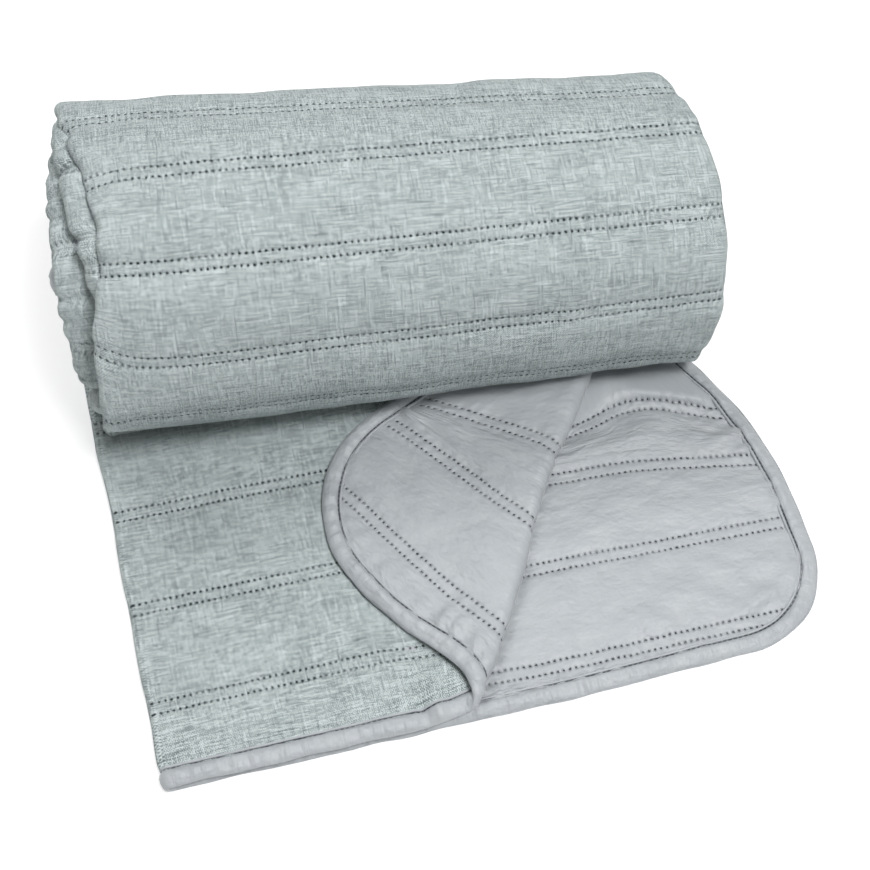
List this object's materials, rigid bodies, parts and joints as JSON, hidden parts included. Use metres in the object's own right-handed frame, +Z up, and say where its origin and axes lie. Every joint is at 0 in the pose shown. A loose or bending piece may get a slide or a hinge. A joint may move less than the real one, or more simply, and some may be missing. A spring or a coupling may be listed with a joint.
{
  "type": "rolled bedspread",
  "caption": "Quilted bedspread, folded lengthwise and rolled up, its loose end laid out in front with one rounded corner turned back to show the smooth reverse",
  "frame": {"origin": "middle of the footprint, on the surface that the bedspread lies on", "axes": "+X along the roll, +Y from the loose end towards the roll, +Z up"},
  "size_m": [0.5955, 0.5341, 0.2711],
  "materials": {
    "face_cloth": "matte melange weave, sage grey",
    "reverse_cloth": "smooth silver grey with a soft sheen",
    "binding_tape": "smooth silver grey tape with a soft sheen"
  },
  "bodies": {
    "root": {"roll": "face_cloth", "face_panel": "face_cloth", "reverse_panel": "reverse_cloth", "binding": "binding_tape"}
  },
  "joints": []
}
